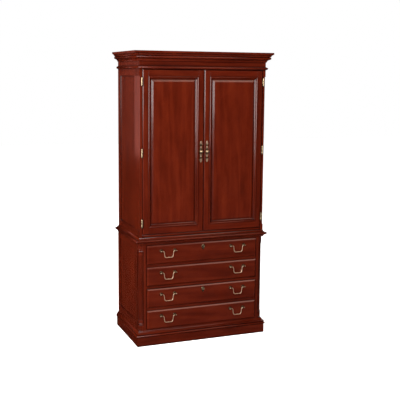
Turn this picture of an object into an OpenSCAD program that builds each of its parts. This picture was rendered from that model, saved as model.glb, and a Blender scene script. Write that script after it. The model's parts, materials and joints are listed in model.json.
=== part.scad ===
// Two-piece armoire computer desk: a two-door upper cabinet with a pull-out
// keyboard board, standing on a base with two lateral file drawers.
// Millimetres, +Z up, front towards -Y, origin on the floor under the middle.
// Distances called f are measured forwards from the plane of the back.

/* [Overall] */
// Height from the floor to the top of the crown
overall_h = 1981; // [1975:1:1990]
// Width of the upper cabinet across its sides
hutch_w = 908; // [904:1:912]
// Depth of the upper cabinet to its front edge
hutch_d = 512; // [508:1:514]
// Width of the base across its sides
base_w = 918; // [914:1:922]
// Depth of the base to its face frame
base_d = 510; // [508:1:514]
// Height of the top surface of the base
waist_z = 731; // [729:1:733]
// Thickness of the case boards
board_t = 19; // [18:0.5:19]
// Thickness of the back panels
back_t = 6; // [5:0.5:6]
// Hairline left between glued pieces
hairline = 0.15; // [0.1:0.05:0.2]

/* [Mouldings] */
// How far the crown stands out from the upper cabinet
crown_out = 42; // [42:1:44]
// How far the nosing of the base top stands out
nosing_out = 22; // [20:1:22]
// How far the bead on the plinth stands out
plinth_bead_out = 18.5; // [18:0.5:19]
// Thickness of the plinth boards
plinth_t = 12.5; // [12:0.5:13]
// Height of the plinth boards
plinth_h = 62; // [60:1:62]

/* [Doors] */
// Underside of the doors
door_z0 = 768.5; // [768:0.5:770]
// Top of the doors
door_z1 = 1861.5; // [1860:0.5:1862]
// Thickness of the door frames
door_t = 20; // [19:0.5:20]
// Distance of the door faces from the back plane
door_f = 515; // [514:0.5:516]
// Half the gap between the two doors
door_gap = 1.5; // [1:0.5:2]
// Width of the door stiles
stile_w = 39; // [38:1:42]
// Width of the door rails
rail_w = 45; // [44:1:46]
// Width of the moulding around a door panel
door_mould_w = 21; // [20:1:22]
// How far a door opens
door_open = 165; // [90:5:170]

/* [File drawers] */
// Height of one drawer face
face_h = 127; // [125:1:128]
// Distance between neighbouring drawer faces, centre to centre
face_pitch = 149.7; // [149:0.1:150]
// Underside of the lowest drawer face
face_z0 = 114.5; // [114:0.5:116]
// Half the width of a drawer face
face_x = 402; // [400:1:402]
// How far a drawer face stands in front of the face frame
face_proud = 10; // [9:0.5:11]
// How far a file drawer pulls out
file_travel = 380; // [300:10:400]

/* [Pulls] */
// Distance between the two posts of a pull
post_spacing = 96; // [90:1:100]
// Distance of a pull from the middle of the cabinet
pull_x = 255; // [240:1:260]
// Height of the posts above the middle of the drawer face
pull_lift = 24; // [20:1:26]
// Half the thickness of a bail's square bar
bail_r = 2.4; // [2:0.1:2.6]
// How far the bail hangs below its pivots
bail_drop = 43; // [40:1:45]

/* [Keyboard board] */
// Underside of the keyboard board
tray_z0 = 748; // [748:0.5:748.5]
// Thickness of the keyboard board
tray_t = 18; // [17:0.5:18]
// How far the keyboard board pulls out
tray_travel = 300; // [200:10:320]

/* [Hidden] */
$fn = 48;

cherry = [0.36, 0.11, 0.06];
cherry_dark = [0.27, 0.08, 0.05];
inner_wood = [0.55, 0.33, 0.19];
antique_brass = [0.62, 0.50, 0.28];
steel = [0.62, 0.63, 0.64];
black_plastic = [0.05, 0.05, 0.05];

eps = 1;                                   // overshoot of a cut
back_y = (hutch_d + crown_out) / 2;        // the back plane, so that Y is centred
hutch_x = hutch_w / 2;
base_x = base_w / 2;
hutch_in = hutch_x - board_t;              // inside faces of the upper sides
base_in = base_x - board_t;                // inside faces of the base sides

nosing_h = 14;                             // thickness of the base top
base_top_z = waist_z - nosing_h;
side_stile_back = 55;                      // rear stile of every cabinet side
side_stile_front_f = 398;                  // where the front stile begins
panel_recess = 6;
side_bevel = 5;                            // of the stopped bevel, at the front corner
panel_t = 7;

// base: notched corners with quarter columns
column_r = 32;
notch_x = base_x - 34;
notch_f = base_d - 34;
frame_t = 19;
rail_gap = 2;                              // clearance between drawer and rail
plinth_cap_z = 104;                        // top of the plinth moulding
waist_cove_z = 700;                        // underside of the waist cove
base_panel_z0 = 157;
base_panel_z1 = 658;

// upper cabinet levels
hutch_top_z = overall_h - 5;
hutch_panel_z0 = 790;
hutch_panel_z1 = 1818;
astragal_z0 = 1864;
door_back_f = door_f - door_t - 1.5;         // just behind the closed doors
door_x = hutch_in - 3;                     // outer edge of a door, inset between the sides

// hinges
hinge_z = [844, 1314, 1781];               // middles of the three hinges
hinge_len = 48;
knuckles = 5;
knuckle_gap = 0.4;
knuckle_len = (hinge_len - (knuckles - 1) * knuckle_gap) / knuckles;
barrel_r = 5;
pin_r = 2.4;
pin_clear = 0.06;
hinge_x = hutch_in + 2.5;                  // barrel axis
hinge_f = door_f + 3;
leaf_t = 1.2;

// door panels, measured back from the door's face
panel_low = 9;                             // the margin under the moulding
panel_high = 3;                            // the raised field
field_bevel = 14;

// file drawers
file_step = 2 * face_pitch;                // from one file drawer to the next
front_f = base_d + face_proud;             // plane of the drawer faces
file_box_x = 388;
box_t = 12;
box_back_f = 45;
box_lift = 12;
box_h = 245;
slide_h = 45;
slide_len = 430;
slide_in_t = 5;                            // thickness of the moving slide member
slide_out_t = 8;                           // thickness of the fixed channel
slide_clear = 0.6;
lock_drop = 25;                            // lock below the top of its face
lock_r = 5;
lock_clear = 0.06;

// pulls
pivot_f = front_f + 18;                    // pivot axis of the bails
post_x = post_spacing / 2;
pin_half = 5;                              // half the length of a bail's end pin
bail_pin_r = 1.8;
bail_pin_clear = 0.08;

// door furniture
plate_x = 22;
plate_z = 1315;
plate_h = 146;
plate_t = 2;

// keyboard board
tray_z1 = tray_z0 + tray_t;
tray_lip_x = hutch_in - 2;
tray_x = 416;
tray_back_f = 110;
tray_front_f = 509;
tray_slide_z = tray_z0 + 1.5;
tray_slide_h = 15;

// shelves
monitor_z = 880;
shelf_x = hutch_in - 1.5;
shelf_front_f = 465;
pin_hole_r = 2.5;
shelf_pin_r = 2.44;
pin_hole_f = [34, 436];
pin_hole_z = [for (k = [0 : 8]) 1066 + 64 * k];
shelf_holes = [2, 7];                      // which row of holes carries each shelf
port_r = 25;
port_x = 250;
port_z = 960;

// ---------------------------------------------------------------- helpers

// A board: x0..x1, from f0 to f1 in front of the back plane, z0..z1
module board(x0, x1, f0, f1, z0, z1) {
    translate([x0, back_y - f1, z0]) cube([x1 - x0, f1 - f0, z1 - z0]);
}

// The children, and the same again on the left
module both_sides() {
    children();
    mirror([1, 0, 0]) children();
}

// side 1 is right, side -1 is left
module on_side(side) {
    if (side > 0) children();
    else mirror([1, 0, 0]) children();
}

// A prism standing on a plan outline given in x and f
module plan_prism(points, z0, z1) {
    translate([0, back_y, z0]) linear_extrude(z1 - z0)
        polygon([for (p = points) [p[0], -p[1]]]);
}

// A profile (outwards, up) carried round the front and both sides of a case,
// as three lengths with mitred corners
module wrapped_moulding(half_w, d, reach) {
    far = reach + 5;
    intersection() {
        translate([half_w + far, back_y - d, 0]) rotate([90, 0, -90])
            linear_extrude(2 * (half_w + far)) children();
        plan_prism([[-half_w, d], [-half_w - far, d + far], [half_w + far, d + far],
            [half_w, d]], -eps, overall_h + eps);
    }
    both_sides() intersection() {
        translate([half_w, back_y, 0]) rotate([90, 0, 0]) linear_extrude(d + far) children();
        plan_prism([[half_w, 0], [half_w, d - hairline], [half_w + far, d + far - hairline],
            [half_w + far, 0]], -eps, overall_h + eps);
    }
}

// A profile (inwards, forwards) round a rectangle w by h in the XZ plane,
// as four mitred lengths
module framed_moulding(w, h, wide) {
    for (k = [0 : 3]) rotate([0, 90 * k, 0]) {
        l = k % 2 == 0 ? w : h;
        drop = (k % 2 == 0 ? h : w) / 2;
        intersection() {
            translate([-l / 2, 0, -drop]) rotate([180, -90, 0]) linear_extrude(l) children();
            rotate([90, 0, 0]) linear_extrude(100, center = true)
                polygon([[-l / 2 + hairline, -drop], [l / 2 - hairline, -drop],
                    [l / 2 - wide - hairline, wide - drop], [-l / 2 + wide + hairline, wide - drop]]);
        }
    }
}

// A slab centred in x and z, back at y = 0 and face at y = -t, with bevelled edges
module bevelled_slab(w, h, t, bevel, deep) {
    intersection() {
        translate([0, 0, -h / 2]) linear_extrude(h)
            polygon([[-w / 2, 0], [w / 2, 0], [w / 2, deep - t], [w / 2 - bevel, -t],
                [bevel - w / 2, -t], [-w / 2, deep - t]]);
        translate([-w / 2, 0, 0]) rotate([90, 0, 90]) linear_extrude(w)
            polygon([[0, -h / 2], [0, h / 2], [deep - t, h / 2], [-t, h / 2 - bevel],
                [-t, bevel - h / 2], [deep - t, -h / 2]]);
    }
}

// A rod along Y from f0 forwards to f1
module rod_y(x, z, f0, f1, r) {
    translate([x, back_y - f0, z]) rotate([90, 0, 0]) cylinder(h = f1 - f0, r = r);
}

// A rod along X from x0 to x1
module rod_x(x0, x1, f, z, r) {
    translate([x0, back_y - f, z]) rotate([0, 90, 0]) cylinder(h = x1 - x0, r = r);
}

// ---------------------------------------------------------------- profiles

module crown_profile() {
    top = overall_h;
    difference() {
        union() {
            translate([0, top - 14]) square([crown_out, 14]);
            translate([0, top - 30]) square([35, 17]);
            translate([0, top - 65]) square([20, 36]);
            translate([20, top - 39]) circle(8);
        }
        translate([crown_out, top - 30]) circle(15);
        translate([22, top - 65]) circle(17);
    }
}

module astragal_profile() {
    translate([0, astragal_z0]) square([4, 20]);
    translate([4, astragal_z0 + 10]) circle(8);
}

module hutch_base_profile() {
    difference() {
        translate([0, waist_z]) square([15, 16]);
        translate([17, waist_z + 19]) circle(16);
    }
}

module waist_cove_profile() {
    difference() {
        translate([0, waist_cove_z]) square([13, base_top_z - waist_cove_z]);
        translate([15, waist_cove_z + 2]) circle(13);
    }
}

module plinth_cap_profile() {
    bead_r = 8;
    translate([plinth_bead_out - bead_r, plinth_h + bead_r + 1]) circle(bead_r);
    translate([0, plinth_h]) square([plinth_bead_out - bead_r, 20]);
    difference() {
        translate([0, plinth_h + 20]) square([14, plinth_cap_z - plinth_h - 20]);
        translate([18, plinth_cap_z + 2]) circle(18);
    }
}

// A bead on the outer edge and a cove down to the panel
module door_moulding_profile() {
    difference() {
        union() {
            square([door_mould_w, 9]);
            translate([5, 9.5]) circle(5);
        }
        translate([door_mould_w + 2, 13.5]) circle(11.5);
    }
}

// ---------------------------------------------------------------- base

// Mitred boards outside, with a front and a rear bearer behind them
module plinth_boards() {
    color(cherry_dark) {
        wrapped_moulding(base_x, base_d, plinth_t) square([plinth_t, plinth_h]);
        for (b = [[back_t + 1, base_in - hairline], [base_d - frame_t, notch_x - hairline]])
            board(-b[1], b[1], b[0], b[0] + frame_t - hairline, 0,
                plinth_cap_z - board_t - hairline);
    }
}

module plinth_moulding() {
    color(cherry) wrapped_moulding(base_x, base_d, plinth_bead_out) plinth_cap_profile();
}

// Two stiles and two rails round an open panel, with the slide spacers inside
module base_side(side) {
    color(cherry) on_side(side) {
        board(base_in, base_x, 0, side_stile_back, 0, base_top_z);
        board(base_in, base_x, side_stile_front_f, notch_f, 0, base_top_z);
        rail(base_in, base_x, 0, base_panel_z0);
        rail(base_in, base_x, base_panel_z1, base_top_z);
        for (k = [0, 1]) {
            z = face_z0 + k * file_step + box_lift + 60;
            board(file_box_x + slide_in_t + slide_clear + slide_out_t + hairline,
                base_in - hairline, 30, 465, z, z + 60);
        }
    }
}

module rail(x0, x1, z0, z1) {
    board(x0, x1, side_stile_back + hairline, side_stile_front_f - hairline, z0, z1);
}

module side_panels() {
    color(cherry) both_sides() {
        side_panel(base_x, base_panel_z0, base_panel_z1);
        side_panel(hutch_x, hutch_panel_z0, hutch_panel_z1);
    }
}

module side_panel(outside, z0, z1) {
    x1 = outside - panel_recess;
    board(x1 - panel_t, x1, side_stile_back + hairline, side_stile_front_f - hairline,
        z0 + hairline, z1 - hairline);
}

// Posts behind the columns, and three rails
module base_face_frame() {
    inner = face_x + rail_gap;
    color(cherry) {
        both_sides() plan_prism([[inner, base_d], [notch_x, base_d], [notch_x, notch_f],
            [base_in - hairline, notch_f], [base_in - hairline, notch_f - 8],
            [inner, notch_f - 8]], plinth_cap_z, base_top_z);
        for (r = [[plinth_cap_z, face_z0 - rail_gap], [file_top(0) + rail_gap,
            face_z0 + file_step - rail_gap], [file_top(1) + rail_gap, base_top_z]])
            board(hairline - inner, inner - hairline, base_d - frame_t, base_d, r[0], r[1]);
    }
}

// Top of the faces of file drawer k
function file_top(k) = face_z0 + k * file_step + face_pitch + face_h;

// Square corner posts, turned between the mouldings into fluted quarter columns
// with rings, a capital and a base block
module corner_columns() {
    z0 = plinth_cap_z;
    z1 = waist_cove_z;
    block = 40;
    shaft_r = column_r - 3;
    x0 = notch_x + hairline;
    f0 = notch_f + hairline;
    color(cherry) both_sides() {
        board(x0, base_x, f0, base_d, 0, z0);
        board(x0, base_x, f0, base_d, z1, base_top_z - hairline);
        intersection() {
            board(x0, base_x, f0, base_d, z0 - eps, z1 + eps);
            translate([notch_x, back_y - notch_f, z0]) difference() {
                union() {
                    translate([0, 0, -eps]) cylinder(h = z1 - z0 + 2 * eps, r = shaft_r);
                    translate([0, 0, -eps]) cylinder(h = block + eps, r = column_r + 2);
                    translate([0, 0, z1 - z0 - block]) cylinder(h = block + eps, r = column_r + 2);
                    for (z = [block + 8, z1 - z0 - block - 8]) column_ring(z);
                }
                for (a = [11 : 17 : 79]) rotate([0, 0, -a]) translate([shaft_r + 1, 0, 75])
                    cylinder(h = z1 - z0 - 150, r = 3.2);
                for (a = [22.5, 45, 67.5], z = [6, z1 - z0 - block + 6]) rotate([0, 0, -a])
                    translate([column_r + 4, 0, z]) cylinder(h = block - 12, r = 4);
            }
        }
    }
}

module column_ring(z) {
    translate([0, 0, z]) rotate_extrude() translate([column_r - 3, 0]) circle(5);
}

// Notched at the front for the corner posts
module base_bottom() {
    color(inner_wood) for (b = [[base_in - hairline, notch_f - hairline],
        [notch_x - hairline, base_d - frame_t - hairline]])
        board(-b[0], b[0], back_t + 0.5, b[1], plinth_cap_z - board_t, plinth_cap_z - hairline);
}

module base_back() {
    color(inner_wood) board(hairline - base_in, base_in - hairline, 0.5, back_t,
        plinth_cap_z - board_t, base_top_z - hairline);
}

// Top board with a rounded nosing, and the cove under it
module base_top() {
    r = nosing_h / 2;
    edge = nosing_out - r;
    color(cherry) {
        board(-base_x - edge, base_x + edge, 0, base_d + edge, base_top_z, waist_z);
        rod_x(-base_x - edge, base_x + edge, base_d + edge, base_top_z + r, r);
        both_sides() {
            rod_y(base_x + edge, base_top_z + r, 0, base_d + edge, r);
            translate([base_x + edge, back_y - base_d - edge, base_top_z + r]) sphere(r);
        }
        wrapped_moulding(base_x, base_d, nosing_out) translate([0, -hairline])
            waist_cove_profile();
    }
}

// Fixed members of the drawer slides and of the keyboard board's slides
module slide_channels() {
    x0 = file_box_x + slide_in_t + slide_clear;
    color(steel) both_sides() {
        for (k = [0, 1]) channel(x0, slide_out_t, 40, 40 + slide_len,
            face_z0 + k * file_step + box_lift + 67, slide_h);
        channel(tray_x + 5.5, hutch_in - tray_x - 5.5 - hairline, 110, 470, tray_slide_z - 0.5, 16);
    }
}

// A rail of C section, open towards the middle of the cabinet
module channel(x0, t, f0, f1, z, h) {
    lip = 1.5;
    difference() {
        board(x0, x0 + t, f0, f1, z, z + h);
        board(x0 - eps, x0 + t - lip, f0 - eps, f1 + eps, z + lip, z + h - lip);
    }
}

// ---------------------------------------------------------------- upper cabinet

// Stiles and rails; the front stile has a long stopped bevel
module hutch_side(side) {
    color(cherry) on_side(side) {
        difference() {
            board(hutch_in, hutch_x, 0, side_stile_back, waist_z, hutch_top_z);
            pin_holes(pin_hole_f[0]);
        }
        difference() {
            board(hutch_in, hutch_x, side_stile_front_f, hutch_d, waist_z, hutch_top_z);
            plan_prism([[hutch_x, side_stile_front_f + 4], [hutch_x - side_bevel, hutch_d + eps],
                [hutch_x + eps, hutch_d + eps], [hutch_x + eps, side_stile_front_f + 4]],
                hutch_panel_z0, hutch_panel_z1);
            pin_holes(pin_hole_f[1]);
        }
        rail(hutch_in, hutch_x, waist_z, hutch_panel_z0);
        rail(hutch_in, hutch_x, hutch_panel_z1, hutch_top_z);
    }
}

module pin_holes(f) {
    for (z = pin_hole_z) rod_x(hutch_in - eps, hutch_in + 11, f, z, pin_hole_r);
}

module hutch_bottom() {
    color(inner_wood) board(hairline - hutch_in, hutch_in - hairline, back_t + 0.5, hutch_d,
        waist_z, waist_z + 15);
}

module hutch_base_moulding() {
    color(cherry) wrapped_moulding(hutch_x, hutch_d, 15) hutch_base_profile();
}

module hutch_top() {
    color(cherry_dark) board(hairline - hutch_in, hutch_in - hairline, back_t + 0.5,
        door_back_f - board_t - hairline, hutch_top_z - board_t, hutch_top_z);
}

// Head rail: the frieze in front, and a lip behind it that the doors close on
module frieze_rail() {
    color(cherry) difference() {
        board(hairline - hutch_in, hutch_in - hairline, door_back_f - board_t, hutch_d,
            astragal_z0 - 26, hutch_top_z);
        board(-hutch_in - eps, hutch_in + eps, door_back_f, hutch_d + eps,
            astragal_z0 - 26 - eps, astragal_z0);
    }
}

module cornice_mouldings() {
    color(cherry) {
        wrapped_moulding(hutch_x, hutch_d, crown_out) crown_profile();
        wrapped_moulding(hutch_x, hutch_d, 12) astragal_profile();
    }
}

module hutch_back() {
    color(inner_wood) difference() {
        board(hairline - hutch_in, hutch_in - hairline, 0.5, back_t, waist_z, hutch_top_z);
        for (x = [-port_x, port_x]) rod_y(x, port_z, -eps, back_t + eps, port_r + 4);
    }
}

module monitor_shelf() {
    color(inner_wood) difference() {
        board(hairline - hutch_in, hutch_in - hairline, back_t + 0.5, 485, monitor_z,
            monitor_z + board_t);
        translate([0, back_y - 60, monitor_z - eps]) cylinder(h = board_t + 2 * eps, r = port_r + 4);
    }
}

module adjustable_shelves() {
    color(inner_wood) for (k = shelf_holes) {
        z = pin_hole_z[k] + shelf_pin_r + 0.01;
        board(-shelf_x, shelf_x, 12, shelf_front_f, z, z + board_t);
    }
}

// Steel pins in the holes below each adjustable shelf
module shelf_pins() {
    color(steel) for (k = shelf_holes, f = pin_hole_f) both_sides()
        rod_x(hutch_in - 8, hutch_in + 10, f, pin_hole_z[k], shelf_pin_r);
}

// Plastic rings that line the cable holes in the back and in the monitor shelf
module cable_grommets() {
    color(black_plastic) {
        for (x = [-port_x, port_x]) translate([x, back_y, port_z]) rotate([90, 0, 0])
            grommet(back_t + 0.2, 2.5);
        translate([0, back_y - 60, monitor_z - 0.1]) grommet(board_t + 0.2, 2.5);
    }
}

// A tube with a flange at its far end
module grommet(h, flange) {
    difference() {
        union() {
            cylinder(h = h + flange, r = port_r + 3.9);
            translate([0, 0, h]) cylinder(h = flange, r = port_r + 9);
        }
        translate([0, 0, -eps]) cylinder(h = h + flange + 2 * eps, r = port_r);
    }
}

// Magnetic catches under the lip of the head rail
module door_catches() {
    z1 = astragal_z0 - 26 - hairline;
    color(black_plastic) both_sides() board(14, 54, door_back_f - 17, door_back_f - 0.5, z1 - 12, z1);
}

// ---------------------------------------------------------------- hinges

// Knuckles first, first + 2, ... of a hinge, with the bore for the pin
module knuckle_row(first, z) {
    for (k = [first : 2 : knuckles - 1]) {
        z0 = z - hinge_len / 2 + k * (knuckle_len + knuckle_gap);
        translate([hinge_x, back_y - hinge_f, z0]) difference() {
            union() {
                cylinder(h = knuckle_len, r = barrel_r);
                children();
            }
            translate([0, 0, -eps]) cylinder(h = knuckle_len + 2 * eps, r = pin_r + pin_clear);
        }
    }
}

// The leaf's tab between a knuckle and the edge of the wood
module leaf(x0, x1, behind) {
    translate([x0 - hinge_x, 2, 0]) cube([x1 - x0, behind, knuckle_len]);
}

module case_hinge_leaves() {
    color(antique_brass) both_sides() for (z = hinge_z) {
        knuckle_row(0, z) leaf(hutch_in - leaf_t - 0.05, hutch_in - 0.05, 17);
        board(hutch_in - leaf_t - 0.05, hutch_in - 0.05, door_back_f + 1, hutch_d - 1,
            z - hinge_len / 2, z + hinge_len / 2);
    }
}

// Pins with a button finial at each end of the barrel
module hinge_pins() {
    half = hinge_len / 2;
    color(antique_brass) both_sides() for (z = hinge_z)
        translate([hinge_x, back_y - hinge_f, z]) {
            cylinder(h = hinge_len + 4, r = pin_r, center = true);
            for (s = [-1, 1]) translate([0, 0, s * (half + 0.1)]) rotate([0, s > 0 ? 0 : 180, 0])
                rotate_extrude() intersection() {
                    translate([0, 1]) circle(barrel_r - 0.5);
                    square([barrel_r, 6]);
                }
        }
}

// ---------------------------------------------------------------- doors
// Doors are drawn on the right and mirrored for the left

module door_frame(side) {
    w = door_x - door_gap;
    h = door_z1 - door_z0;
    color(cherry) on_side(side) translate([door_gap + w / 2, back_y - door_f + door_t,
        door_z0 + h / 2]) for (part = door_parts(w, h)) intersection() {
            bevelled_slab(w, h, door_t, 6, 4);
            translate([part[0], -door_t - eps, part[2]]) cube([part[1] - part[0],
                door_t + 2 * eps, part[3] - part[2]]);
        }
}

// Each stile and rail of a door as [x0, x1, z0, z1] about the door's middle
function door_parts(w, h) = [
    [-w / 2 - eps, stile_w - w / 2, -h / 2 - eps, h / 2 + eps],
    [w / 2 - stile_w, w / 2 + eps, -h / 2 - eps, h / 2 + eps],
    [stile_w - w / 2 + hairline, w / 2 - stile_w - hairline, -h / 2 - eps, rail_w - h / 2],
    [stile_w - w / 2 + hairline, w / 2 - stile_w - hairline, h / 2 - rail_w, h / 2 + eps]];

// Size of the space inside the stiles and rails
door_field_w = door_x - door_gap - 2 * (stile_w + hairline);
door_field_h = door_z1 - door_z0 - 2 * (rail_w + hairline);

// A raised panel: a thin board with a bevelled field inside the moulding
module door_panel(side) {
    color(cherry) on_side(side) translate([(door_gap + door_x) / 2, back_y - door_f,
        (door_z0 + door_z1) / 2]) {
            translate([-door_field_w / 2, panel_low, -door_field_h / 2])
                cube([door_field_w, door_t - 3 - panel_low, door_field_h]);
            translate([0, panel_low + 4, 0]) bevelled_slab(door_field_w - 2 * door_mould_w,
                door_field_h - 2 * door_mould_w, panel_low + 4 - panel_high, field_bevel,
                panel_low - panel_high - 0.2);
        }
}

module door_moulding(side) {
    color(cherry) on_side(side) translate([(door_gap + door_x) / 2,
        back_y - door_f + panel_low - 0.05, (door_z0 + door_z1) / 2])
            framed_moulding(door_field_w, door_field_h, door_mould_w) door_moulding_profile();
}

// Door leaves of the three hinges, and the strike of the magnetic catch
module door_leaves_strike(side) {
    color(antique_brass) on_side(side) {
        for (z = hinge_z) {
            knuckle_row(1, z) leaf(door_x + 0.05, door_x + leaf_t + 0.05, 17);
            board(door_x + 0.05, door_x + leaf_t + 0.05, door_back_f + 3, hutch_d - 1,
                z - hinge_len / 2, z + hinge_len / 2);
        }
        board(16, 52, door_back_f + 0.2, door_back_f + 1.4, astragal_z0 - 37, astragal_z0 - 27);
    }
}

// Pierced cast plate behind the knob, cut from overlapping round lobes
module door_plate(side) {
    lobes = [[0, 0, 12], [0, 14, 10], [0, 30, 7.5], [0, 46, 10], [0, 60, 8], [0, 68, 5]];
    color(antique_brass) on_side(side) translate([plate_x, back_y - door_f - 0.05, plate_z])
        rotate([90, 0, 0]) linear_extrude(plate_t) difference() {
            union() {
                square([9, plate_h - 22], center = true);
                for (l = lobes, s = [-1, 1]) translate([l[0], s * l[1]]) circle(l[2]);
            }
            for (s = [-1, 1]) {
                translate([0, s * 60]) circle(3.2);
                translate([0, s * 30]) circle(2.8);
                for (t = [-1, 1]) {
                    translate([t * 4.8, s * 46]) circle(2.6);
                    translate([t * 5.2, s * 14.5]) circle(2.4);
                }
            }
        }
}

// Turned knob on the middle of the plate
module door_knob(side) {
    color(antique_brass) on_side(side) translate([plate_x, back_y - door_f - plate_t - 0.1, plate_z])
        rotate([90, 0, 0]) rotate_extrude() {
            square([8, 2]);
            square([4, 16]);
            translate([4, 3]) circle(2);
            intersection() {
                translate([0, 20]) circle(9);
                translate([0, 14]) square([9, 9]);
            }
        }
}

// ---------------------------------------------------------------- keyboard board

module keyboard_board() {
    r = 4;
    f1 = tray_front_f - 18;
    color(cherry_dark) {
        board(-tray_x, tray_x, tray_back_f, f1 + eps, tray_z0, tray_z1);
        board(-tray_lip_x, tray_lip_x, f1, tray_front_f - r, tray_z0, tray_z1);
        board(-tray_lip_x, tray_lip_x, f1, tray_front_f, tray_z0 + r, tray_z1 - r);
        for (z = [tray_z0 + r, tray_z1 - r])
            rod_x(-tray_lip_x, tray_lip_x, tray_front_f - r, z, r);
    }
}

module keyboard_slides() {
    color(steel) both_sides() board(tray_x + hairline, tray_x + 5, tray_back_f + 10, 465,
        tray_slide_z, tray_slide_z + tray_slide_h);
}

// ---------------------------------------------------------------- file drawers

// Backing board with two bevelled faces, bored for the lock
module file_front(k) {
    z0 = face_z0 + k * file_step;
    color(cherry) difference() {
        union() {
            board(-face_x, face_x, base_d - frame_t + 1, base_d, z0, file_top(k));
            for (row = [0, 1]) translate([0, back_y - base_d, z0 + row * face_pitch + face_h / 2])
                bevelled_slab(2 * face_x, face_h, face_proud, 8, 6);
        }
        rod_y(0, file_top(k) - lock_drop, base_d - frame_t - eps, front_f + eps, lock_r + lock_clear);
    }
}

// Two sides, a back and a bottom
module file_box(k) {
    z0 = face_z0 + k * file_step + box_lift;
    f1 = base_d - frame_t + 1 - hairline;
    color(inner_wood) {
        both_sides() board(file_box_x - box_t, file_box_x, box_back_f, f1, z0, z0 + box_h);
        board(box_t + hairline - file_box_x, file_box_x - box_t - hairline, box_back_f,
            box_back_f + box_t, z0, z0 + box_h);
        board(box_t + hairline - file_box_x, file_box_x - box_t - hairline,
            box_back_f + box_t + hairline, f1, z0 + 8, z0 + 14);
    }
}

// Steel strips across the box that folders hang on
module file_hanging_rails(k) {
    z1 = face_z0 + k * file_step + box_lift + box_h;
    x = file_box_x - box_t - hairline;
    color(steel) for (f = [110, 430]) {
        board(-x, x, f, f + 2.5, z1 - 20, z1 - 2);
        both_sides() board(x - 2, x, f - 6, f + 8.5, z1 - 20, z1 - 2);
    }
}

// Moving slide members on the sides of the box
module file_slides(k) {
    z = face_z0 + k * file_step + box_lift + 67;
    color(steel) both_sides() {
        board(file_box_x + hairline, file_box_x + slide_in_t, 50, 46 + slide_len, z + 4, z + slide_h - 4);
        board(file_box_x + slide_in_t - eps, file_box_x + slide_in_t + 4, 50, 46 + slide_len,
            z + 8, z + slide_h - 8);
    }
}

// Posts of the four pulls, each with a rosette and a cross bore, and the escutcheon
module file_posts(k) {
    color(antique_brass) {
        for (row = [0, 1], x = [-pull_x, pull_x], s = [-1, 1])
            pull_post(x + s * post_x, face_z0 + k * file_step + row * face_pitch + face_h / 2 + pull_lift);
        escutcheon(file_top(k) - lock_drop);
    }
}

module pull_post(x, z) {
    difference() {
        translate([x, back_y - front_f - 0.05, z]) rotate([90, 0, 0]) union() {
            rotate_extrude() {
                square([11, 1.5]);
                translate([9, 1.5]) circle(1.5);
                square([6.5, 4]);
                square([3.2, 14]);
                translate([3.2, 10]) circle(1.2);
            }
            translate([0, 0, pivot_f - front_f]) sphere(5.2);
        }
        rod_x(x - 10, x + 10, pivot_f, z, bail_pin_r + bail_pin_clear);
        rod_y(x, z, front_f - 10, front_f, 12);
    }
}

module escutcheon(z) {
    translate([0, back_y - front_f - 0.05, z]) rotate([90, 0, 0]) difference() {
        linear_extrude(1.8) union() {
            circle(11);
            translate([0, -10]) circle(8.5);
            translate([0, -19]) circle(5);
            translate([0, 11]) circle(4);
        }
        translate([0, 0, -eps]) cylinder(h = 5, r = lock_r + lock_clear);
    }
}

// Key plug with a slot in front and a short cam behind
module lock_plug(k) {
    z = file_top(k) - lock_drop;
    f0 = base_d - frame_t - 4;
    color(antique_brass) {
        difference() {
            rod_y(0, z, f0, front_f + 3, lock_r);
            board(-0.8, 0.8, front_f, front_f + 4, z - 3.2, z + 3.2);
        }
        board(-4.5, 22, f0 - 2, f0 + 1, z - 4.5, z + 4.5);
    }
}

// ---------------------------------------------------------------- bails

// Swan-neck bail: a bent bar of square section with a bead in its middle, and an
// end pin with a button through each post
module bail(row, x) {
    z = face_z0 + row * face_pitch + face_h / 2 + pull_lift;
    shoulder_x = post_x - pin_half - 2;
    leg_x = shoulder_x - 8;
    half = [[shoulder_x, 0], [leg_x + 4, -1.5], [leg_x, -7], [leg_x, 9 - bail_drop],
        [leg_x - 3, 3 - bail_drop], [leg_x - 9, -bail_drop]];
    path = concat(half, [for (i = [len(half) - 1 : -1 : 0]) [-half[i][0], half[i][1]]]);
    color(antique_brass) translate([x, back_y - pivot_f, z]) {
        rotate([90, 0, 0]) linear_extrude(2 * bail_r, center = true)
            polygon(concat(beside(path, bail_r), reversed(beside(path, -bail_r))));
        translate([-4.5, 0, -bail_drop]) rotate([0, 90, 0]) cylinder(h = 9, r = bail_r * 1.5);
        both_sides() {
            translate([shoulder_x - 1, 0, 0]) rotate([0, 90, 0])
                cylinder(h = 2 * pin_half + 5, r = bail_pin_r);
            translate([post_x + pin_half + 0.5, 0, 0]) rotate([0, 90, 0]) cylinder(h = 5, r = 3);
        }
    }
}

// The points of a path, each moved sideways by w
function beside(path, w) = [for (i = [0 : len(path) - 1])
    let (d = path[min(i + 1, len(path) - 1)] - path[max(i - 1, 0)])
    path[i] + w / norm(d) * [-d[1], d[0]]];

function reversed(points) = [for (i = [len(points) - 1 : -1 : 0]) points[i]];

// ---------------------------------------------------------------- nodes

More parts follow.
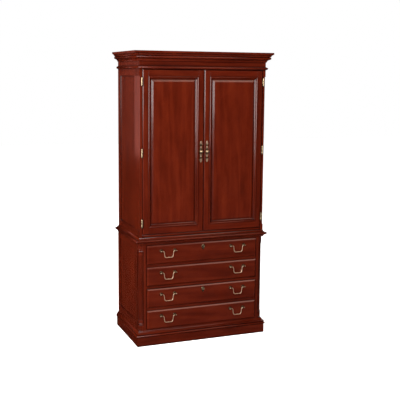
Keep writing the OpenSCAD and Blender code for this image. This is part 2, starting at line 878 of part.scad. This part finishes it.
plinth_boards();
plinth_moulding();
base_side(-1);  // base_side_left
base_side(1);  // base_side_right
side_panels();
base_face_frame();
corner_columns();
base_bottom();
base_back();
base_top();
slide_channels();
hutch_side(-1);  // hutch_side_left
hutch_side(1);  // hutch_side_right
hutch_bottom();
hutch_base_moulding();
hutch_top();
frieze_rail();
cornice_mouldings();
hutch_back();
monitor_shelf();
adjustable_shelves();
shelf_pins();
cable_grommets();
door_catches();
case_hinge_leaves();
hinge_pins();
door_frame(-1);  // door_left_frame
door_panel(-1);  // door_left_panel
door_moulding(-1);  // door_left_moulding
door_leaves_strike(-1);  // door_left_leaves_strike
door_plate(-1);  // door_left_plate
door_knob(-1);  // door_left_knob
door_frame(1);  // door_right_frame
door_panel(1);  // door_right_panel
door_moulding(1);  // door_right_moulding
door_leaves_strike(1);  // door_right_leaves_strike
door_plate(1);  // door_right_plate
door_knob(1);  // door_right_knob
keyboard_board();
keyboard_slides();
file_front(1);  // file_upper_front
file_box(1);  // file_upper_box
file_hanging_rails(1);  // file_upper_hanging_rails
file_slides(1);  // file_upper_slides
file_posts(1);  // file_upper_posts
file_front(0);  // file_lower_front
file_box(0);  // file_lower_box
file_hanging_rails(0);  // file_lower_hanging_rails
file_slides(0);  // file_lower_slides
file_posts(0);  // file_lower_posts
bail(3, -pull_x);  // bail_1_left
bail(3, pull_x);  // bail_1_right
bail(2, -pull_x);  // bail_2_left
bail(2, pull_x);  // bail_2_right
bail(1, -pull_x);  // bail_3_left
bail(1, pull_x);  // bail_3_right
bail(0, -pull_x);  // bail_4_left
bail(0, pull_x);  // bail_4_right
lock_plug(1);  // lock_upper
lock_plug(0);  // lock_lower
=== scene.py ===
import json
import math

import bpy
from mathutils import Matrix, Vector


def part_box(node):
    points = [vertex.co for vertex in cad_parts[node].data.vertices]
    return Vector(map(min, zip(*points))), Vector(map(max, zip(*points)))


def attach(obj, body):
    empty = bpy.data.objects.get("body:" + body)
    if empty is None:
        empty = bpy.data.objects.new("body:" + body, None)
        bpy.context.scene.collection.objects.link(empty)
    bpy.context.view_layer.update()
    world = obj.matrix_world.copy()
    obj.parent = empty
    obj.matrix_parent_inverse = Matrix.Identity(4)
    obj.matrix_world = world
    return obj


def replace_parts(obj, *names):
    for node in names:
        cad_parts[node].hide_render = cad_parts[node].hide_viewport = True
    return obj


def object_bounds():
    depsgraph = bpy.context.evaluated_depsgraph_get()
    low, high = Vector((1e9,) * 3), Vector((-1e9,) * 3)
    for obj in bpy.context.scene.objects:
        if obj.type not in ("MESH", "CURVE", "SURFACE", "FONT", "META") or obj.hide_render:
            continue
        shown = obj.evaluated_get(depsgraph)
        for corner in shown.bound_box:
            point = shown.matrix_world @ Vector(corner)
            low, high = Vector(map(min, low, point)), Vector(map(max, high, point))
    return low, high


MM = 0.001
WHITE = (1.0, 1.0, 1.0, 1.0)

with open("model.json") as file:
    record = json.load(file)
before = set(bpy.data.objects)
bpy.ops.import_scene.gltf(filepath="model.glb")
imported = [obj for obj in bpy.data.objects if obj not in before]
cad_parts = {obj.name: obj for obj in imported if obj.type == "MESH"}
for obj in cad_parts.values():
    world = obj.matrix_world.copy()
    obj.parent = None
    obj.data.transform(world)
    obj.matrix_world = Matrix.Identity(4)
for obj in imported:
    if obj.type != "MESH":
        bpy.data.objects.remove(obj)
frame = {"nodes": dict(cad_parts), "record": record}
cad_lo, cad_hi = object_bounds()

# ---------------------------------------------------------------- camera and light

# The camera stands to the left of the front and looks down a little
VIEW_YAW = math.radians(21.53)
VIEW_PITCH = math.radians(7.48)
VIEW_ROLL = math.radians(0.51)
VIEW_DISTANCE = 5.352
VIEW_LENS = 70.07
VIEW_SHIFT = -0.055
AIM_DEPTH = 0.193                  # share of the depth, from the front
AIM_HEIGHT = 0.568                 # share of the height
AMBIENT = 0.12
GLOSS_AMBIENT = 0.002              # the dark studio that the lacquer mirrors
FLOOR_SIZE = 30
FLOOR_GAP = 0.0005                 # how far the floor lies under the plinth
FLOOR_GLOW = 0.98                  # keeps the pale floor pale far from the lamps
FLOOR_IN_GLOSS = 0.004             # how bright the lacquer sees the floor

# Name, azimuth and elevation (degrees), distance and size (m), power (W), tint
LIGHTS = [("key", -35, 20, 4.2, (3.0, 2.6), 130, (1.0, 1.0, 1.0)),
          ("side", -80, 14, 3.6, (1.8, 2.6), 98, (1.0, 1.0, 1.0)),
          ("overhead", 26, 40, 4.0, (2.6, 1.5), 34, (1.0, 0.68, 0.55)),
          ("back_fill", 140, 24, 4.4, (2.6, 2.0), 60, (1.0, 1.0, 1.0)),
          ("back_edge", -151, 12, 4.0, (0.5, 2.2), 2.8, (1.0, 0.38, 0.33))]


def aim_point():
    """The point on the cabinet that the camera and the lights are turned to."""
    return Vector(((cad_lo.x + cad_hi.x) / 2,
                   cad_lo.y + AIM_DEPTH * (cad_hi.y - cad_lo.y),
                   cad_lo.z + AIM_HEIGHT * (cad_hi.z - cad_lo.z)))


def make_camera():
    forward = Vector((math.sin(VIEW_YAW) * math.cos(VIEW_PITCH),
                      math.cos(VIEW_YAW) * math.cos(VIEW_PITCH), -math.sin(VIEW_PITCH)))
    level = Vector((math.cos(VIEW_YAW), -math.sin(VIEW_YAW), 0))
    up = level.cross(forward)
    right = level * math.cos(VIEW_ROLL) + up * math.sin(VIEW_ROLL)
    up = right.cross(forward)
    data = bpy.data.cameras.new("camera")
    data.sensor_width = 36
    data.lens = VIEW_LENS
    data.shift_y = VIEW_SHIFT
    camera = bpy.data.objects.new("camera", data)
    bpy.context.scene.collection.objects.link(camera)
    turn = Matrix((right, up, -forward)).transposed().to_4x4()
    camera.matrix_world = Matrix.Translation(aim_point() - forward * VIEW_DISTANCE) @ turn
    bpy.context.scene.camera = camera


def softbox(name, azimuth, elevation, distance, size, power, tint):
    """A rectangular light turned to the cabinet. Azimuth 0 is in front, and grows to the right."""
    a, e = math.radians(azimuth), math.radians(elevation)
    away = Vector((math.sin(a) * math.cos(e), -math.cos(a) * math.cos(e), math.sin(e)))
    data = bpy.data.lights.new(name, "AREA")
    data.shape = "RECTANGLE"
    data.size, data.size_y = size
    data.energy = power
    data.color = tint
    lamp = bpy.data.objects.new(name, data)
    lamp.visible_camera = False
    bpy.context.scene.collection.objects.link(lamp)
    lamp.location = aim_point() + away * distance
    lamp.rotation_euler = (-away).to_track_quat("-Z", "Y").to_euler()


def make_world():
    """A white backdrop to the eye, and a dim, even light to the object."""
    world = bpy.data.worlds.new("studio")
    bpy.context.scene.world = world
    bpy.context.scene.view_settings.view_transform = "Standard"
    world.use_nodes = True
    tree = world.node_tree
    tree.nodes.clear()
    path = tree.nodes.new("ShaderNodeLightPath")
    level = maths(tree, "MULTIPLY_ADD", path.outputs["Is Glossy Ray"],
                  GLOSS_AMBIENT - AMBIENT, AMBIENT)
    level = maths(tree, "MAXIMUM", level, path.outputs["Is Camera Ray"])
    backdrop = node(tree, "ShaderNodeBackground", {"Color": WHITE, "Strength": level})
    node(tree, "ShaderNodeOutputWorld", {"Surface": backdrop.outputs[0]})


def make_floor():
    """A plain pale floor that stays pale to the eye and is dark in reflections."""
    bpy.ops.mesh.primitive_plane_add(size=FLOOR_SIZE, location=(0, 0, cad_lo.z - FLOOR_GAP))
    floor = bpy.context.object
    floor.name = "floor"
    material, tree = new_material("pale_floor")
    grain = node(tree, "ShaderNodeTexNoise", {"Scale": 3.0, "Detail": 3.0})
    tone = ramp(tree, grain.outputs["Fac"], [(0.3, (0.86, 0.86, 0.86)), (0.7, (0.9, 0.9, 0.9))])
    surface = node(tree, "ShaderNodeBsdfDiffuse", {"Color": tone, "Roughness": 0.9})
    path = node(tree, "ShaderNodeLightPath")
    glow = maths(tree, "MULTIPLY", path.outputs["Is Camera Ray"], FLOOR_GLOW)
    lift = node(tree, "ShaderNodeEmission", {"Color": WHITE, "Strength": glow})
    both = node(tree, "ShaderNodeAddShader", {0: surface.outputs[0], 1: lift.outputs[0]})
    dim = node(tree, "ShaderNodeEmission", {"Color": WHITE, "Strength": FLOOR_IN_GLOSS})
    seen = node(tree, "ShaderNodeMixShader", {0: path.outputs["Is Glossy Ray"],
                                             1: both.outputs[0], 2: dim.outputs[0]})
    node(tree, "ShaderNodeOutputMaterial", {"Surface": seen.outputs[0]})
    floor.data.materials.append(material)


# ---------------------------------------------------------------- shader helpers

def node(tree, kind, inputs=None, **settings):
    """A shader node; each input is a value or another node's output socket."""
    made = tree.nodes.new(kind)
    for key, value in settings.items():
        setattr(made, key, value)
    for key, value in (inputs or {}).items():
        if isinstance(value, bpy.types.NodeSocket):
            tree.links.new(value, made.inputs[key])
        else:
            made.inputs[key].default_value = value
    return made


def new_material(name):
    material = bpy.data.materials.new(name)
    material.use_nodes = True
    material.node_tree.nodes.clear()
    return material, material.node_tree


def finish(tree, inputs):
    """The surface shader and the material's output."""
    surface = node(tree, "ShaderNodeBsdfPrincipled", inputs={
        k: (*v, 1.0) if isinstance(v, tuple) and len(v) == 3 else v for k, v in inputs.items()})
    node(tree, "ShaderNodeOutputMaterial", {"Surface": surface.outputs[0]})


def ramp(tree, factor, stops):
    made = node(tree, "ShaderNodeValToRGB", {"Fac": factor})
    points = made.color_ramp.elements
    while len(points) < len(stops):
        points.new(0.5)
    for point, (place, colour) in zip(points, stops):
        point.position = place
        point.color = (*colour, 1.0)
    return made.outputs["Color"]


def maths(tree, operation, a, b=0.0, c=0.0, clamp=False):
    return node(tree, "ShaderNodeMath", {0: a, 1: b, 2: c}, operation=operation,
                use_clamp=clamp).outputs[0]


def vector_maths(tree, operation, a, b):
    key = "Scale" if operation == "SCALE" else 1
    return node(tree, "ShaderNodeVectorMath", {0: a, key: b}, operation=operation).outputs[0]


def noise(tree, where, scale, detail=2.0, distortion=0.0, roughness=0.5):
    return node(tree, "ShaderNodeTexNoise", {
        "Vector": where, "Scale": scale, "Detail": detail, "Distortion": distortion,
        "Roughness": roughness}).outputs["Fac"]


def blend_colour(tree, mode, factor, a, b):
    made = node(tree, "ShaderNodeMix", {0: factor, 6: a, 7: b}, data_type="RGBA", blend_type=mode)
    return made.outputs[2]


def grey(tree, value):
    """A number as a grey colour."""
    return node(tree, "ShaderNodeCombineColor", {0: value, 1: value, 2: value}).outputs[0]


# ---------------------------------------------------------------- materials

CHERRY = [(0.25, (0.060, 0.0058, 0.0016)), (0.45, (0.108, 0.0100, 0.0026)),
          (0.60, (0.142, 0.0145, 0.0037)), (0.80, (0.190, 0.0240, 0.0062))]
INTERIOR = [(0.22, (0.075, 0.0180, 0.0070)), (0.45, (0.130, 0.0330, 0.0125)),
            (0.62, (0.175, 0.0480, 0.0180)), (0.82, (0.250, 0.0800, 0.0300))]
GRAIN_STRETCH = 0.06               # scale of the figure along the grain, against 1 across it
MOTTLE_STRETCH = 0.4               # the same for the soft mottle under the lacquer
FIGURE, GROWTH, MOTTLE, FIBRE = 0.30, 0.10, 0.44, 0.16    # shares in the depth of the stain
PORE_LEVEL = 0.66
SHADE_REACH = 0.014                # how far from a corner the painted shade in the hollows reaches, m
# slope, level and strength of the painted shade in corners and hollows
SHADE_SLOPE, SHADE_LEVEL, SHADE_STRENGTH = 1.7, -0.75, 0.92
CHERRY_GLOSS, INTERIOR_GLOSS = 0.11, 0.40                 # least roughness


def wood(name, axis, colours, gloss):
    """Stained, lacquered wood whose grain runs along axis 0, 1 or 2, with painted shade darkening
    its corners and hollows.
    """
    material, tree = new_material(name)
    place = node(tree, "ShaderNodeTexCoord").outputs["Object"]
    board = node(tree, "ShaderNodeAttribute", attribute_name="board").outputs["Fac"]
    shifted = vector_maths(tree, "ADD", place,
                           vector_maths(tree, "SCALE", (7.3, 11.9, 17.1), board))
    sway = node(tree, "ShaderNodeTexNoise", {"Vector": shifted, "Scale": 2.2, "Detail": 1.0})
    swayed = vector_maths(tree, "ADD", shifted,
                          vector_maths(tree, "SCALE", sway.outputs["Color"], 0.05))
    stretch = [1.0, 1.0, 1.0]
    stretch[axis] = GRAIN_STRETCH
    along = vector_maths(tree, "MULTIPLY", swayed, stretch)

    figure = noise(tree, along, 26.0, 5.0, 0.7, 0.55)
    stretch[axis] = MOTTLE_STRETCH
    mottle = noise(tree, vector_maths(tree, "MULTIPLY", swayed, stretch), 13.0, 4.0)
    growth = node(tree, "ShaderNodeTexWave", {
        "Vector": along, "Scale": 9.0, "Distortion": 9.0, "Detail": 3.0, "Detail Scale": 1.4},
        wave_type="BANDS", bands_direction="DIAGONAL").outputs["Fac"]
    fibre = noise(tree, along, 420.0, 3.0, 0.2, 0.6)
    pores = maths(tree, "GREATER_THAN", noise(tree, along, 900.0, 1.0), PORE_LEVEL)

    depth = maths(tree, "MULTIPLY_ADD", figure, FIGURE, maths(tree, "MULTIPLY", growth, GROWTH))
    depth = maths(tree, "MULTIPLY_ADD", mottle, MOTTLE, depth)
    depth = maths(tree, "MULTIPLY_ADD", fibre, FIBRE, depth)
    tint = ramp(tree, depth, colours)
    tone = maths(tree, "MULTIPLY_ADD", board, 0.22, 0.88)
    tint = blend_colour(tree, "MULTIPLY", 1.0, tint, grey(tree, tone))
    tint = blend_colour(tree, "MULTIPLY", maths(tree, "MULTIPLY", pores, 0.35), tint,
                        (0.35, 0.25, 0.2, 1.0))
    # painted shade: ambient occlusion darkens the wood in corners, creases and hollows where shade
    # falls
    hollow = node(tree, "ShaderNodeAmbientOcclusion", {"Distance": SHADE_REACH}, samples=8)
    painted_shade = maths(tree, "MULTIPLY_ADD", hollow.outputs["AO"], SHADE_SLOPE, SHADE_LEVEL, clamp=True)
    tint = blend_colour(tree, "MULTIPLY", SHADE_STRENGTH, tint, grey(tree, painted_shade))

    smudge = noise(tree, place, 5.0, 4.0)
    rough = maths(tree, "MULTIPLY_ADD", fibre, 0.10, gloss)
    rough = maths(tree, "MULTIPLY_ADD", smudge, 0.10, rough)
    relief = maths(tree, "MULTIPLY_ADD", pores, -0.6, fibre)
    bump = node(tree, "ShaderNodeBump", {"Strength": 0.10, "Distance": 0.0004,
                                        "Height": relief}).outputs[0]
    finish(tree, {"Base Color": tint, "Roughness": rough, "Normal": bump,
                  "Specular IOR Level": 0.50, "Coat Weight": 0.30, "Coat Roughness": 0.10,
                  "Coat IOR": 1.5})
    return material


# Colour of rubbed places, colour of the hollows, least roughness, share of bare metal
BRASS = {"antique_brass": ((0.62, 0.45, 0.27), (0.035, 0.024, 0.012), 0.12, 0.82),
         "rubbed_brass": ((0.74, 0.50, 0.33), (0.16, 0.10, 0.06), 0.20, 0.60),
         "tarnished_brass": ((0.23, 0.14, 0.075), (0.012, 0.009, 0.006), 0.12, 0.80)}


def brass(name):
    """Cast brass with dark patina in its hollows and rubbed edges."""
    bright, dark, rough, metal = BRASS[name]
    material, tree = new_material(name)
    place = node(tree, "ShaderNodeTexCoord").outputs["Object"]
    cloud = noise(tree, place, 160.0, 4.0)
    fine = noise(tree, place, 1400.0, 2.0)
    hollow = node(tree, "ShaderNodeAmbientOcclusion", {"Distance": 0.004}, samples=6)
    rubbed = maths(tree, "MULTIPLY_ADD", cloud, 0.55, maths(tree, "MULTIPLY",
                                                           hollow.outputs["AO"], 0.75))
    between = tuple((a + b) / 2 for a, b in zip(bright, dark))
    tint = ramp(tree, rubbed, [(0.45, dark), (0.72, between), (0.95, bright)])
    bump = node(tree, "ShaderNodeBump", {"Strength": 0.12, "Distance": 0.0002,
                                        "Height": fine}).outputs[0]
    finish(tree, {"Base Color": tint, "Metallic": metal, "Normal": bump,
                  "Roughness": maths(tree, "MULTIPLY_ADD", cloud, 0.26, rough)})
    return material


def brushed_steel():
    """Zinc-plated rolled strip, brushed front to back."""
    material, tree = new_material("zinc_steel")
    place = node(tree, "ShaderNodeTexCoord").outputs["Object"]
    lines = noise(tree, vector_maths(tree, "MULTIPLY", place, (1.0, 0.02, 1.0)), 900.0, 3.0)
    spangle = noise(tree, place, 60.0, 3.0)
    tint = ramp(tree, spangle, [(0.3, (0.42, 0.43, 0.45)), (0.7, (0.60, 0.61, 0.62))])
    bump = node(tree, "ShaderNodeBump", {"Strength": 0.08, "Distance": 0.0002,
                                        "Height": lines}).outputs[0]
    finish(tree, {"Base Color": tint, "Metallic": 1.0, "Normal": bump,
                  "Roughness": maths(tree, "MULTIPLY_ADD", lines, 0.2, 0.28)})
    return material


def moulded_plastic():
    """Black plastic with a fine spark-eroded texture."""
    material, tree = new_material("moulded_plastic")
    place = node(tree, "ShaderNodeTexCoord").outputs["Object"]
    texture = noise(tree, place, 2200.0, 2.0)
    dust = noise(tree, place, 40.0, 4.0)
    tint = ramp(tree, dust, [(0.4, (0.012, 0.012, 0.013)), (0.8, (0.030, 0.029, 0.028))])
    bump = node(tree, "ShaderNodeBump", {"Strength": 0.2, "Distance": 0.0002,
                                        "Height": texture}).outputs[0]
    finish(tree, {"Base Color": tint, "Normal": bump,
                  "Roughness": maths(tree, "MULTIPLY_ADD", texture, 0.2, 0.45)})
    return material


# ---------------------------------------------------------------- boards of the CAD nodes

def islands(mesh):
    """For each face, the number of the separate solid it belongs to."""
    parent = {}

    def root(k):
        while parent[k] != k:
            parent[k] = parent[parent[k]]
            k = parent[k]
        return k

    keys = [tuple(round(c, 6) for c in v.co) for v in mesh.vertices]
    for key in keys:
        parent.setdefault(key, key)
    for face in mesh.polygons:
        first = root(keys[face.vertices[0]])
        for v in face.vertices[1:]:
            parent[root(keys[v])] = first
    roots = {}
    return [roots.setdefault(root(keys[f.vertices[0]]), len(roots)) for f in mesh.polygons], keys


def grain_boards(obj, woods):
    """Gives each board of a node the wood whose grain runs along it, and its own tone."""
    mesh = obj.data
    number, keys = islands(mesh)
    corners = {}
    for face, k in zip(mesh.polygons, number):
        lo, hi = corners.setdefault(k, ([9e9] * 3, [-9e9] * 3))
        for v in face.vertices:
            for a in range(3):
                lo[a] = min(lo[a], keys[v][a])
                hi[a] = max(hi[a], keys[v][a])
    axis, tone = {}, {}
    for k, (lo, hi) in corners.items():
        size = [b - a for a, b in zip(lo, hi)]
        axis[k] = size.index(max(size))
        tone[k] = (sum(lo) * 37.7 + sum(hi) * 91.3) % 1.0
    mesh.materials.clear()
    for material in woods:
        mesh.materials.append(material)
    board = mesh.attributes.new("board", "FLOAT", "FACE")
    for face, k in zip(mesh.polygons, number):
        face.material_index = axis[k]
        board.data[face.index].value = tone[k]


def one_material(obj, material):
    obj.data.materials.clear()
    obj.data.materials.append(material)
    for face in obj.data.polygons:
        face.material_index = 0


WOOD_EDGE, METAL_EDGE = 0.6 * MM, 0.25 * MM


def soften(obj, width):
    """Rounds the sharp edges of a node a little, as sanding does."""
    weld = obj.modifiers.new("weld", "WELD")
    weld.merge_threshold = 1e-5
    bevel = obj.modifiers.new("soft_edges", "BEVEL")
    bevel.width = width
    bevel.segments = 2
    bevel.limit_method = "ANGLE"
    bevel.angle_limit = math.radians(32)
    bevel.harden_normals = True


# ---------------------------------------------------------------- pieces made here

def link_mesh(name, verts, faces, material, body):
    """A smooth new piece that rides a body and takes the material it is given."""
    mesh = bpy.data.meshes.new(name)
    mesh.from_pydata(verts, [], faces)
    mesh.update()
    for face in mesh.polygons:
        face.use_smooth = True
    mesh.materials.append(material)
    obj = bpy.data.objects.new(name, mesh)
    bpy.context.scene.collection.objects.link(obj)
    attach(obj, body)
    return obj


def sweep(path, radii, sides=20):
    """Rings of a round wire along points in a vertical plane facing front."""
    verts, faces = [], []
    across = Vector((0, 1, 0))
    for k, (p, r) in enumerate(zip(path, radii)):
        before, after = path[max(k - 1, 0)], path[min(k + 1, len(path) - 1)]
        up = (after - before).normalized().cross(across)
        for s in range(sides):
            a = 2 * math.pi * s / sides
            verts.append(p + (across * math.cos(a) + up * math.sin(a)) * r)
    for k in range(len(path) - 1):
        for s in range(sides):
            t = (s + 1) % sides
            faces.append((k * sides + s, k * sides + t, (k + 1) * sides + t, (k + 1) * sides + s))
    faces.append(tuple(reversed(range(sides))))
    faces.append(tuple(range(len(verts) - sides, len(verts))))
    return verts, faces


def smooth_path(points, steps):
    """A curve through the points, with steps between each two."""
    ends = [points[0] * 2 - points[1], *points, points[-1] * 2 - points[-2]]
    path = []
    for a, b, c, d in zip(ends, ends[1:], ends[2:], ends[3:]):
        for k in range(steps):
            t = k / steps
            path.append(0.5 * (2 * b + (c - a) * t + (2 * a - 5 * b + 4 * c - d) * t * t
                               + (3 * b - a - 3 * c + d) * t ** 3))
    return [*path, points[-1]]


def bail_wire(name, material):
    """Swan-neck bail in place of the CAD wire: ball ends, pins, tapered necks, beaded bar."""
    lo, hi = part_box(name)
    ball_r = 3.0 * MM
    middle = (lo.x + hi.x) / 2
    pivot_y = (lo.y + hi.y) / 2
    pivot_z = hi.z - ball_r
    reach = (hi.x - lo.x) / 2
    drop = pivot_z - lo.z - 3.4 * MM
    inner = reach - 19 * MM            # the balls inside the posts
    # Half of the wire as (across, height, radius in mm), from a ball end to the middle
    half = [(reach - ball_r, 0, 1.8), (inner + 1 * MM, 0, 1.8), (inner - 2.2 * MM, -0.8 * MM, 2.2),
            (inner - 6 * MM, -6 * MM, 2.4), (inner - 7.6 * MM, -15 * MM, 2.1),
            (inner - 8.6 * MM, -0.62 * drop, 2.3), (inner - 12.5 * MM, -0.88 * drop, 2.8),
            (inner - 20 * MM, -drop, 2.9), (8 * MM, -drop, 2.2), (0, -drop, 2.2)]
    points = [Vector((x, z, r * MM)) for x, z, r in half]
    points += [Vector((-p.x, p.y, p.z)) for p in reversed(points[:-1])]
    curve = smooth_path(points, 7)
    path = [Vector((middle + p.x, pivot_y, pivot_z + p.y)) for p in curve]
    radii = [p.z + bead_swell(p, drop) for p in curve]
    verts, faces = sweep(path, radii)
    for side in (-1, 1):
        for x, r in ((reach - ball_r, ball_r), (inner, 2.85 * MM)):
            add_ball(verts, faces, Vector((middle + side * x, pivot_y, pivot_z)), r)
    wire = link_mesh(name + "_cast", verts, faces, material, name)
    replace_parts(wire, name)


BEADED = 9 * MM                    # how far the beads reach from the middle of the bar
BEAD_SWELL = 1.0 * MM


def bead_swell(p, drop):
    """Extra radius of the beads in the middle of the bar."""
    if p.y > -0.9 * drop or abs(p.x) > BEADED:
        return 0.0
    fade = 1 - abs(p.x) / (2 * BEADED)
    return BEAD_SWELL * abs(math.cos(p.x / BEADED * math.pi * 1.5)) * fade


def add_ball(verts, faces, centre, r, rings=12, sides=20):
    """Adds a closed ball whose poles lie to the left and right."""
    base = len(verts)
    for k in range(1, rings):
        a = math.pi * k / rings
        for s in range(sides):
            b = 2 * math.pi * s / sides
            verts.append(centre + r * Vector((math.cos(a), math.sin(a) * math.cos(b),
                                              math.sin(a) * math.sin(b))))
    verts += [centre + Vector((r, 0, 0)), centre - Vector((r, 0, 0))]
    for k in range(rings - 2):
        for s in range(sides):
            t = (s + 1) % sides
            faces.append((base + k * sides + s, base + (k + 1) * sides + s,
                          base + (k + 1) * sides + t, base + k * sides + t))
    for s in range(sides):
        t = (s + 1) % sides
        faces.append((len(verts) - 2, base + s, base + t))
        last = base + (rings - 2) * sides
        faces.append((len(verts) - 1, last + t, last + s))


def turned(verts, faces, centre, profile, closed=False, sides=28):
    """Adds a solid turned about an axis facing front. The profile is (radius, distance forward)
    in mm, and a closed one makes a ring."""
    base = len(verts)
    for r, out in profile:
        for s in range(sides):
            a = 2 * math.pi * s / sides
            verts.append(centre + Vector((r * math.cos(a), -out, r * math.sin(a))) * MM)
    count = len(profile)
    for k in range(count if closed else count - 1):
        ahead = (k + 1) % count
        for s in range(sides):
            t = (s + 1) % sides
            faces.append((base + k * sides + s, base + k * sides + t,
                          base + ahead * sides + t, base + ahead * sides + s))
    if not closed:
        faces.append(tuple(reversed(range(base, base + sides))))
        faces.append(tuple(range(base + (count - 1) * sides, base + count * sides)))


def arc(radius, rise, start, stop, steps, inner=0.0):
    """Points of an ellipse's arc as a profile, with its centre at the inner radius."""
    turns = [math.radians(start + (stop - start) * k / steps) for k in range(steps + 1)]
    return [(inner + radius * math.cos(a), rise * math.sin(a)) for a in turns]


RING_ARC = (0, 330, 11)            # start, stop and steps of a ring's round section
PLATE_RINGS = [(60, 5.5, 1.9), (30, 4.9, 1.4)]      # height, radius, half thickness, mm
PLATE_BEADS = [(0, 68.8, 2.9), (0, 46, 1.9), (-6.4, 19.2, 2.0), (-6.4, 51, 2.0),
               (6.4, 19.2, 2.0), (6.4, 51, 2.0)]    # across, height, radius, mm


def plate_relief(side, material):
    """The rings and beads cast on the face of a door's plate, alike above and below its knob."""
    lo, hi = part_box("door_%s_plate" % side)
    face = Vector(((lo.x + hi.x) / 2, lo.y, (lo.z + hi.z) / 2))
    verts, faces = [], []
    for s in (-1, 1):
        for z, inner, r in PLATE_RINGS:
            turned(verts, faces, face + Vector((0, 0, s * z)) * MM,
                   arc(r, r, *RING_ARC, inner), closed=True)
        for x, z, r in PLATE_BEADS:
            turned(verts, faces, face + Vector((x, 0, s * z)) * MM, arc(r, 0.9 * r, 0, 84, 6))
    link_mesh("door_%s_relief" % side, verts, faces, material, "door_" + side)


# The knob's foot and neck, as (radius, distance forward) in mm
KNOB_NECK = [(8.0, 0.0), (8.0, 1.2), (7.4, 2.0), (5.6, 2.8), (4.4, 4.2), (3.8, 6.6), (3.8, 9.6),
             (4.6, 12.4), (6.6, 14.0)]
KNOB_R, KNOB_RISE = 9.0, 5.2


def door_knob(side, material):
    """Turned knob with a domed face in place of the plainer CAD one."""
    name = "door_%s_knob" % side
    lo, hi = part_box(name)
    foot = Vector(((lo.x + hi.x) / 2, hi.y, (lo.z + hi.z) / 2))
    length = (hi.y - lo.y) / MM
    dome = [(r, length - KNOB_RISE + out) for r, out in arc(KNOB_R, KNOB_RISE, -30, 86, 14)]
    verts, faces = [], []
    turned(verts, faces, foot, KNOB_NECK + dome)
    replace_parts(link_mesh(name + "_turned", verts, faces, material, "door_" + side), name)


PLUG_PROUD = 1.15                  # how far a lock's plug stands out of its plate, mm
RIM_R, RIM_HALF = 9.4, 1.2         # radius and half thickness of the rim, mm


def lock_rim(level, material):
    """The raised rim of a keyhole plate, around the plug of its lock."""
    front_lo, front_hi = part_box("file_%s_front" % level)
    lo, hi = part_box("lock_" + level)
    middle = Vector(((front_lo.x + front_hi.x) / 2, lo.y + PLUG_PROUD * MM, (lo.z + hi.z) / 2))
    verts, faces = [], []
    turned(verts, faces, middle, arc(RIM_HALF, RIM_HALF, *RING_ARC, RIM_R), closed=True)
    link_mesh("lock_%s_rim" % level, verts, faces, material, "file_" + level)


# ---------------------------------------------------------------- the object

def dress_frame():
    """Softens every CAD node and gives it a material, then returns the brass for new pieces."""
    cherry = [wood("cherry_" + "xyz"[k], k, CHERRY, CHERRY_GLOSS) for k in range(3)]
    interior = [wood("interior_" + "xyz"[k], k, INTERIOR, INTERIOR_GLOSS) for k in range(3)]
    cast, rubbed, tarnished = (brass(name) for name in BRASS)
    others = {"antique_brass": cast, "steel": brushed_steel(), "black_plastic": moulded_plastic()}
    slots = {s["node"]: s["material_slot"] for s in frame["record"]["subparts"]}
    for name, obj in frame["nodes"].items():
        if slots[name] in ("cherry", "interior_wood"):
            grain_boards(obj, cherry if slots[name] == "cherry" else interior)
            soften(obj, WOOD_EDGE)
        else:
            aged = name.endswith(("_posts", "_plate"))
            one_material(obj, tarnished if aged else others[slots[name]])
            soften(obj, METAL_EDGE)
    return cast, rubbed


make_camera()
make_world()
make_floor()
for light in LIGHTS:
    softbox(*light)
brass_cast, brass_rubbed = dress_frame()
for bail in (n for n in frame["nodes"] if n.startswith("bail_")):
    bail_wire(bail, brass_rubbed)
for door in ("left", "right"):
    plate_relief(door, brass_rubbed)
    door_knob(door, brass_cast)
for level in ("upper", "lower"):
    lock_rim(level, brass_cast)
